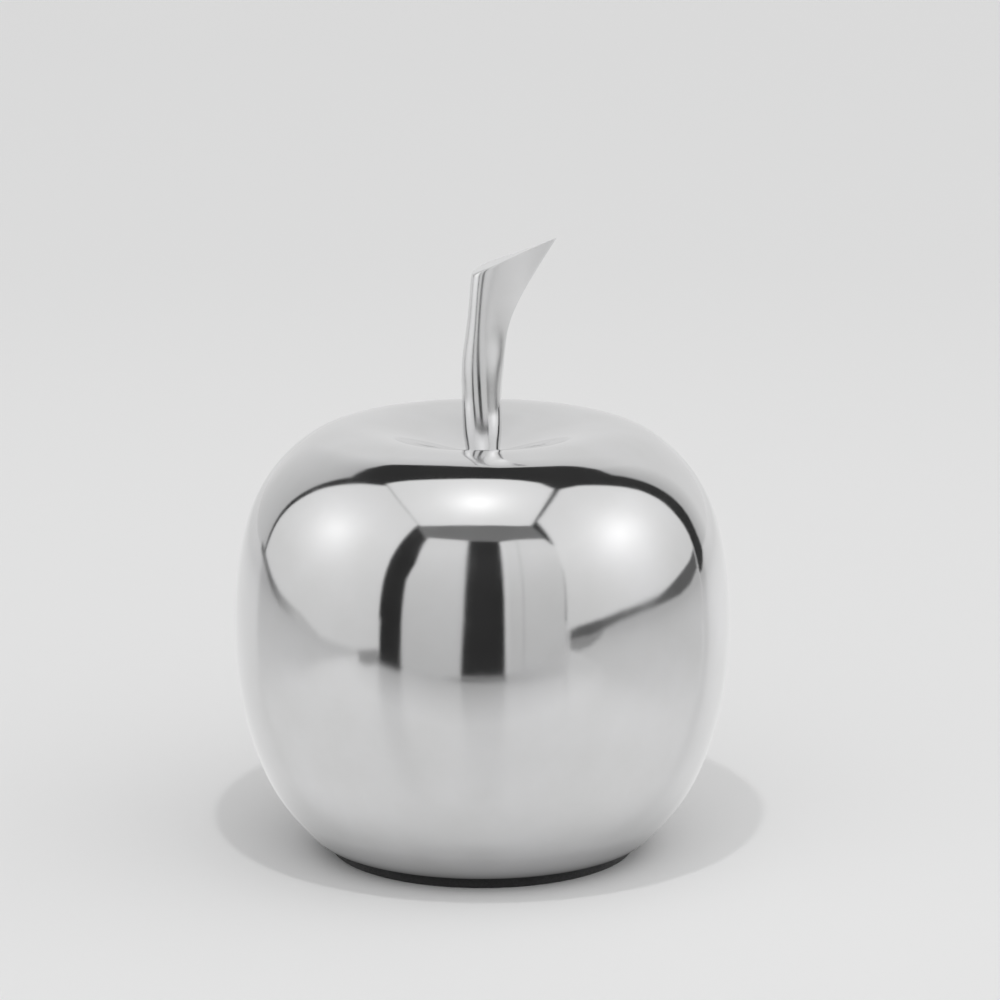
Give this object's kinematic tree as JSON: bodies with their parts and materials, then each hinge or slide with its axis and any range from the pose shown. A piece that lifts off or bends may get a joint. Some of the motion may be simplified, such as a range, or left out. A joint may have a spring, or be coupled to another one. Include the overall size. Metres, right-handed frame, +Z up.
{
  "type": "polished metal apple ornament",
  "caption": "Free-standing polished cast-aluminium apple ornament: hollow round body with a dimpled top, a solid flared stem with an oblique cut, and a felt pad underneath.",
  "frame": {"origin": "on the table under the middle of the apple, at the centre of the felt pad's underside", "axes": "+Z up along the axis of the turned body; the stem's pointed tip leans towards +X; the pictured front faces -Y"},
  "size_m": [0.15, 0.15, 0.1882],
  "materials": {
    "polished_aluminium": "mirror polished sand casting, faint polishing marks",
    "zinc_plated_steel": "zinc plated",
    "black_felt": "pressed wool felt"
  },
  "bodies": {
    "root": {"apple_shell": "polished_aluminium", "stem": "polished_aluminium", "stem_screw": "zinc_plated_steel", "screw_washer": "zinc_plated_steel", "felt_pad": "black_felt"}
  },
  "joints": []
}
